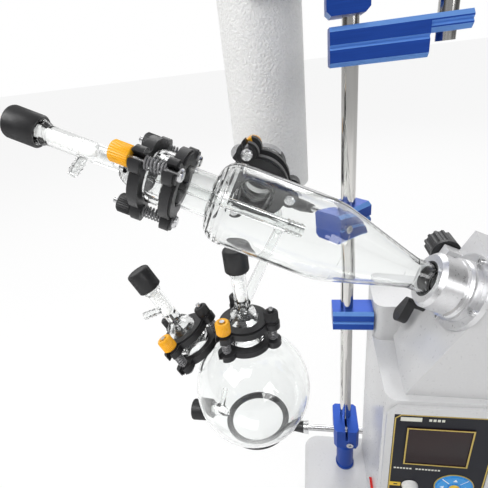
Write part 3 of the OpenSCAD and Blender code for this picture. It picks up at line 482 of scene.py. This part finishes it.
def makeFloor():
    wide = studio["floorWide"]
    mesh = bpy.data.meshes.new("benchFloor")
    corners = [(-wide, -wide, 0), (wide, -wide, 0), (wide, wide, 0), (-wide, wide, 0)]
    mesh.from_pydata(corners, [], [(0, 1, 2, 3)])
    floor = bpy.data.objects.new("benchFloor", mesh)
    bpy.context.scene.collection.objects.link(floor)
    finish, tree, shader = startFinish("benchWhite", studio["floorColour"][:3], 0.6)
    tint(tree, shader, noise(tree, 2, 2), (0.91, 0.91, 0.91), (0.94, 0.94, 0.94))
    # seen directly the bench is close to plain white; glass and metal see it lit as usual
    glow = tree.nodes.new("ShaderNodeEmission")
    mix = tree.nodes.new("ShaderNodeMixShader")
    path = tree.nodes.new("ShaderNodeLightPath")
    share = tree.nodes.new("ShaderNodeMath")
    share.operation = "MULTIPLY"
    share.inputs[1].default_value = studio["floorGlow"]
    tree.links.new(path.outputs["Is Camera Ray"], share.inputs[0])
    tree.links.new(share.outputs[0], mix.inputs["Fac"])
    tree.links.new(shader.outputs[0], mix.inputs[1])
    tree.links.new(glow.outputs[0], mix.inputs[2])
    tree.links.new(mix.outputs[0], tree.nodes["Material Output"].inputs["Surface"])
    mesh.materials.append(finish)


# Mesh helpers.
def meshPiece(name, verts, faces, slotName, body, finish=None, smooth=True):
    mesh = bpy.data.meshes.new(name)
    mesh.from_pydata([tuple(v) for v in verts], [], faces)
    mesh.validate()
    work = bmesh.new()
    work.from_mesh(mesh)
    bmesh.ops.recalc_face_normals(work, faces=work.faces)
    work.to_mesh(mesh)
    work.free()
    if smooth:
        mesh.shade_smooth()
        mesh.set_sharp_from_angle(angle=math.radians(38))
    piece = bpy.data.objects.new(name, mesh)
    bpy.context.scene.collection.objects.link(piece)
    mesh.materials.append(finish or finishes[slotName])
    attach(piece, body)
    return piece


def joinRings(rings, closedAround=True, closedAlong=False):
    # rings: lists of equally many points; returns vertices and faces of the skin between them
    verts = [p for ring in rings for p in ring]
    count = len(rings[0])
    faces = []
    steps = len(rings) if closedAlong else len(rings) - 1
    for i in range(steps):
        j = (i + 1) % len(rings)
        for k in range(count if closedAround else count - 1):
            m = (k + 1) % count
            faces.append((i * count + k, i * count + m, j * count + m, j * count + k))
    return verts, faces


def addTo(pool, verts, faces, seat=Matrix.Identity(4)):
    base = len(pool["verts"])
    pool["verts"] += [seat @ Vector(v) for v in verts]
    pool["faces"] += [tuple(i + base for i in f) for f in faces]


def newPool():
    return {"verts": [], "faces": []}


def sweep(path, radius, around=10):
    # round tube along a list of points, with flat ends
    rings = []
    side = None
    for i, p in enumerate(path):
        before = path[max(i - 1, 0)]
        after = path[min(i + 1, len(path) - 1)]
        way = (Vector(after) - Vector(before)).normalized()
        if side is None:
            side = way.orthogonal().normalized()
        side = (side - way * side.dot(way)).normalized()
        other = way.cross(side)
        rings.append([
            Vector(p) + (side * math.cos(a) + other * math.sin(a)) * radius
            for a in (2 * math.pi * k / around for k in range(around))
        ])
    verts, faces = joinRings(rings)
    faces.append(tuple(range(around))[::-1])
    last = (len(rings) - 1) * around
    faces.append(tuple(range(last, last + around)))
    return verts, faces


def extruded(outline, low, high, bevel=0.0):
    # outline: (x, y) points anticlockwise; a straight-sided solid with an optional chamfer at its top
    def at(points, z):
        return [(x, y, z) for x, y in points]
    rings = [at(outline, low), at(outline, high - bevel)]
    if bevel:
        rings.append(at(inset(outline, bevel), high))
    verts, faces = joinRings(rings)
    count = len(outline)
    faces.append(tuple(range(count))[::-1])
    last = (len(rings) - 1) * count
    faces.append(tuple(range(last, last + count)))
    return verts, faces


def inset(outline, amount):
    made = []
    count = len(outline)
    for i in range(count):
        a, b, c = Vector(outline[i - 1]), Vector(outline[i]), Vector(outline[(i + 1) % count])
        one = (b - a).normalized()
        two = (c - b).normalized()
        n1, n2 = Vector((-one.y, one.x)), Vector((-two.y, two.x))
        mean = (n1 + n2)
        if mean.length < 1e-6:
            mean = n1
        mean.normalize()
        reach = amount / max(mean.dot(n1), 0.3)
        made.append(tuple(b + mean * reach))
    return made


# Frames of the joints.
def jointOf(name):
    return next(j for j in frame["joints"] if j["name"] == name)


def seatAt(place, axis, towards):
    # matrix whose +Z is the axis and whose +X points to the side of `towards`
    z = Vector(axis).normalized()
    x = Vector(towards) - Vector(place)
    x = (x - z * x.dot(z)).normalized()
    y = z.cross(x)
    turn = Matrix((x, y, z)).transposed()
    return Matrix.Translation(place) @ turn.to_4x4()


def flutedRings(profile, flutes, depth, ribFrom):
    # profile of (radius, height) as a closed loop or an open line; radii past ribFrom get flutes
    steps = flutes * 2
    rings = []
    for radius, height in profile:
        ring = []
        for k in range(steps):
            a = 2 * math.pi * k / steps
            r = radius - (depth if k % 2 and radius > ribFrom else 0.0)
            ring.append((r * math.cos(a), r * math.sin(a), height))
        rings.append(ring)
    return rings


def millimetres(points):
    return [tuple(v / 1000 for v in p) for p in points]


# Frames of the clamps and valves.
sideCentre = (-0.076, 0.008, 0.436)
clampValves = {"inlet": "inlet", "neck": "outlet", "vacuum": "vacuum", "side": None}


def clampFrame(name):
    # +Z along the joint, +X to the bolt that carries the orange nut, origin on the joint's face
    release = jointOf(name + "_nut_turn")
    axis = Vector(release["axis"]).normalized()
    valve = clampValves[name]
    centre = Vector(jointOf(valve + "_valve_turn")["pos_m"]) if valve else Vector(sideCentre)
    nut = Vector(release["pos_m"])
    nut -= axis * (nut - centre).dot(axis)
    return seatAt(centre, axis, nut), (nut - centre).length


def valveFrame(name):
    turn = jointOf(name + "_valve_turn")
    return seatAt(turn["pos_m"], turn["axis"], Vector(turn["pos_m"]) + Vector((0.013, 0.031, 0.017)))


# Springs between the clamp plates.
springs = {"wire": 0.00065, "coilRadius": 0.0042, "turns": 6.5, "perTurn": 16, "half": 0.0072}


def coil():
    perTurn = springs["perTurn"]
    count = int(springs["turns"] * perTurn)
    path = []
    for k in range(count + 1):
        part = k / count
        ease = part * part * (3 - 2 * part) * 0.35 + part * 0.65
        a = 2 * math.pi * k / perTurn
        r = springs["coilRadius"]
        path.append((r * math.cos(a), r * math.sin(a), springs["half"] * (2 * ease - 1)))
    return sweep(path, springs["wire"], 7)


def makeSprings():
    made = []
    verts, faces = coil()
    for name in clampValves:
        seat, reach = clampFrame(name)
        pool = newPool()
        for third in range(3):
            turn = Matrix.Rotation(2 * math.pi * third / 3, 4, "Z")
            addTo(pool, verts, faces, seat @ turn @ Matrix.Translation((reach, 0, 0)))
        made.append(meshPiece(name + "Springs", pool["verts"], pool["faces"], "steel", "stand", wireFinish))
    for piece in made:
        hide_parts("clamp_springs")


# Knurled nuts of the clamps.
nuts = {"flutes": 30, "depth": 0.55, "base": 16.35, "orangeHigh": 14.0, "blackHigh": 11.0}


def nutRings(high):
    profile = [(2.62, 0), (6.6, 0), (7.5, 0.7), (7.5, high - 1.3), (6.3, high), (4.2, high),
               (2.62, high - 1.6)]
    rings = flutedRings(profile, nuts["flutes"], nuts["depth"], 7.2)
    return joinRings([millimetres(ring) for ring in rings], True, True)


def makeNuts():
    blackPool = newPool()
    for name in clampValves:
        seat, reach = clampFrame(name)
        for third in range(3):
            turn = Matrix.Rotation(2 * math.pi * third / 3, 4, "Z")
            place = seat @ turn @ Matrix.Translation((reach, 0, nuts["base"] / 1000))
            if third:
                addTo(blackPool, *nutRings(nuts["blackHigh"]), place)
            else:
                orange = newPool()
                addTo(orange, *nutRings(nuts["orangeHigh"]), place)
                piece = meshPiece(name + "OrangeNut", orange["verts"], orange["faces"], "orange_plastic",
                                  name + "_release_nut")
                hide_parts(name + "_nut")
    piece = meshPiece("blackNuts", blackPool["verts"], blackPool["faces"], "black_plastic", "stand")
    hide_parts("clamp_nuts")


# Screw caps and plungers of the valves.
valves = {
    "inlet": {"mouth": 110.0, "seat": 52.0},
    "outlet": {"mouth": 92.0, "seat": 41.0},
    "vacuum": {"mouth": 92.0, "seat": 41.0},
    "drain": {"mouth": 22.0, "seat": -10.0},
}
capLook = {"flutes": 44, "depth": 0.5, "radius": 12.3, "high": 24.0, "skirt": 16.7}
plungerLook = {"radius": 4.78, "groove": 0.75, "lead": 3.2, "around": 32, "step": 0.35}


def makeCap(name, mouth):
    r, high = capLook["radius"], capLook["high"]
    profile = [(0.02, 21.0), (3.2, 21.0), (3.2, 16.0), (9.95, 16.0), (9.95, 0), (r - 1, 0), (r, 1.0),
               (r, high - 2.2), (r - 0.8, high - 0.8), (r - 2.2, high), (r - 2.8, high),
               (r - 3.2, high - 0.5), (0.02, high - 0.5)]
    rings = flutedRings(profile, capLook["flutes"], capLook["depth"], r - 0.1)
    verts, faces = joinRings([millimetres(ring) for ring in rings])
    pool = newPool()
    foot = Matrix.Translation((0, 0, (mouth - capLook["skirt"]) / 1000))
    addTo(pool, verts, faces, valveFrame(name) @ foot)
    piece = meshPiece(name + "Cap", pool["verts"], pool["faces"], "black_plastic", name + "_screw_cap")
    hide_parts(name + "_cap")


def circle(radius, height, steps):
    turns = [2 * math.pi * k / steps for k in range(steps)]
    return [(radius * math.cos(a), radius * math.sin(a), height) for a in turns]


def plungerRings(seat, mouth):
    # tip, seal and shaft; the shaft carries a coarse helical groove up to the mouth
    r, around = plungerLook["radius"], plungerLook["around"]
    low = seat - 2.6
    plain = [(0.02, low), (3, low + 1), (4.2, low + 4), (r, low + 7), (r, low + 12), (r - 1, low + 12.4),
             (r - 1, low + 13.6), (r, low + 14)]
    rings = [circle(q, z, around) for q, z in plain]
    z = low + 15
    while z < mouth - 2.6:
        ring = []
        for k in range(around):
            a = 2 * math.pi * k / around
            wave = 0.5 + 0.5 * math.cos(2 * math.pi * z / plungerLook["lead"] - a)
            q = r - plungerLook["groove"] * wave ** 2
            ring.append((q * math.cos(a), q * math.sin(a), z))
        rings.append(ring)
        z += plungerLook["step"]
    for q, top in ((3.0, mouth - 2.5), (3.0, mouth + 3.5), (0.02, mouth + 3.5)):
        rings.append(circle(q, top, around))
    return joinRings([millimetres(ring) for ring in rings])


def makePlunger(name, seat, mouth):
    pool = newPool()
    addTo(pool, *plungerRings(seat, mouth), valveFrame(name))
    piece = meshPiece(name + "Plunger", pool["verts"], pool["faces"], "white_ptfe", name + "_plunger")
    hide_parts(name + "_stem")


def makeValves():
    for name, facts in valves.items():
        makeCap(name, facts["mouth"])
        makePlunger(name, facts["seat"], facts["mouth"])


# Rubber seal in the collar.
seal = {"inner": 12.15, "outer": 13.95, "low": -9.0, "high": -0.3, "steps": 64}


def makeSeal():
    spin = jointOf("spindle_spin")
    seat = seatAt(spin["pos_m"], -Vector(spin["axis"]), Vector(spin["pos_m"]) + Vector((0, 0, 1)))
    inner, outer, low, high = seal["inner"], seal["outer"], seal["low"], seal["high"]
    profile = [(inner, low), (outer, low), (outer, high), (outer - 0.5, high + 0.2),
               (inner + 0.4, high + 0.2), (inner, high - 0.4)]
    rings = flutedRings(profile, seal["steps"] // 2, 0.0, 99)
    pool = newPool()
    addTo(pool, *joinRings([millimetres(ring) for ring in rings], True, True), seat)
    meshPiece("collarSeal", pool["verts"], pool["faces"], "rubber", "stand", sealFinish)


# Printed parts of the control panel.
panel = {"lineWide": 1.1, "thick": 0.0001, "cut": 4.5, "displayLine": 1.2}


def faceSeat(front):
    # local X along the panel, local Y up, local Z out of the panel
    turn = Matrix(((1, 0, 0), (0, 0, -1), (0, 1, 0)))
    return Matrix.Translation((0, front, 0)) @ turn.to_4x4()


def stripAround(outer, wide, front, name, slotName, finish, thick):
    inner = inset(outer, wide)
    rings = [[(x, y, z) for x, y in line] for line, z in
             ((outer, 0.00002), (outer, thick), (inner, thick), (inner, 0.00002))]
    pool = newPool()
    addTo(pool, *joinRings(rings, True, True), faceSeat(front))
    return meshPiece(name, pool["verts"], pool["faces"], slotName, "stand", finish, False)


def platesOn(name, outlines, front, slotName, finish, thick):
    pool = newPool()
    for outline in outlines:
        points = [(x / 1000, z / 1000) for x, z in outline]
        addTo(pool, *extruded(points, 0.00002, thick), faceSeat(front))
    return meshPiece(name, pool["verts"], pool["faces"], slotName, "stand", finish, False)


def bar(x0, z0, x1, z1):
    return [(x0, z0), (x1, z0), (x1, z1), (x0, z1)]


def disc(x, z, radius, steps=32):
    return [(x + radius * math.cos(2 * math.pi * k / steps), z + radius * math.sin(2 * math.pi * k / steps))
            for k in range(steps)]


def makePanelPrint():
    low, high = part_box("control_panel")
    edge, cutBy = 0.0003, panel["cut"] / 1000
    border = [(low.x + edge, low.z + edge), (high.x - edge, low.z + edge), (high.x - edge, high.z - edge),
              (low.x + edge + cutBy, high.z - edge), (low.x + edge, high.z - edge - cutBy)]
    wide, thick = panel["lineWide"] / 1000, panel["thick"]
    stripAround(border, wide, low.y, "panelBorder", "navy_film", goldFinish, thick)
    platesOn("panelBadge", [bar(35.3, 257.4, 51.6, 261.8)], low.y, "navy_film", paleFinish, 0.0003)
    marks = [bar(x, 257.9, x + 2.2, 260.6) for x in (57, 60.2, 63.4, 66.6)]
    marks += [bar(34 + 2.6 * k, 194.6, 35.8 + 2.6 * k, 196.4) for k in range(15) if k != 6]
    platesOn("panelMarks", marks, low.y, "navy_film", paleFinish, thick)
    platesOn("speedStrip", [bar(31.9, 169.2, 41.2, 174.6)], low.y, "navy_film", yellowFinish, 0.00016)
    platesOn("speedMarks", [bar(35.2, 171.2, 38.4, 172.6)], low.y - 0.00016, "navy_film", sealFinish, 0.0001)


def makeDisplayLine():
    low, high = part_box("display")
    frameLine = [(low.x, low.z), (high.x, low.z), (high.x, high.z), (low.x, high.z)]
    wide = panel["displayLine"] / 1000
    stripAround(frameLine, wide, low.y, "displayLine", "dark_screen", goldFinish, 0.00014)


keypadLook = {
    "icon": 2.6,
    "iconAt": 10.0,
    "centre": 4.3,
    "gap": 0.9,
    "gapFrom": 6.4,
    "rimOut": 0.9,
    "rimWide": 1.2,
}


def turnedAbout(points, x, z, a):
    return [(x + p * math.cos(a) - q * math.sin(a), z + p * math.sin(a) + q * math.cos(a)) for p, q in points]


def makeKeypadPrint():
    low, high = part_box("keypad")
    x, z = (low.x + high.x) * 500, (low.z + high.z) * 500
    out = (high.x - low.x) * 500
    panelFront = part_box("control_panel")[0].y
    rim = [(px / 1000, pz / 1000) for px, pz in disc(x, z, out + keypadLook["rimOut"], 56)]
    stripAround(rim, keypadLook["rimWide"] / 1000, panelFront, "keypadRim", "blue_key", goldFinish, 0.0004)
    platesOn("keypadCentre", [disc(x, z, keypadLook["centre"])], low.y, "blue_key", yellowFinish, 0.00025)
    at, size, half = keypadLook["iconAt"], keypadLook["icon"], keypadLook["gap"] / 2
    arrow = [(at + size * 0.75, 0), (at - size * 0.5, size * 0.7), (at - size * 0.5, -size * 0.7)]
    spoke = bar(keypadLook["gapFrom"], -half, out - 0.7, half)
    quarters = [math.pi / 2 * k for k in range(4)]
    arrows = [turnedAbout(arrow, x, z, a) for a in quarters]
    spokes = [turnedAbout(spoke, x, z, a + math.pi / 4) for a in quarters]
    platesOn("keypadIcons", arrows, panelFront - 0.00152, "blue_key", whiteFinish, 0.00012)
    platesOn("keypadGaps", spokes, panelFront - 0.0009, "blue_key", whiteFinish, 0.0003)


makeStudio()
makeFloor()
dressNodes()
splitFinishes()
print("studio, floor and finishes ready")
makeSprings()
makeNuts()
makeValves()
print("springs, nuts, caps and plungers made")
makeSeal()
makePanelPrint()
makeDisplayLine()
makeKeypadPrint()
print("seal and control panel print made")
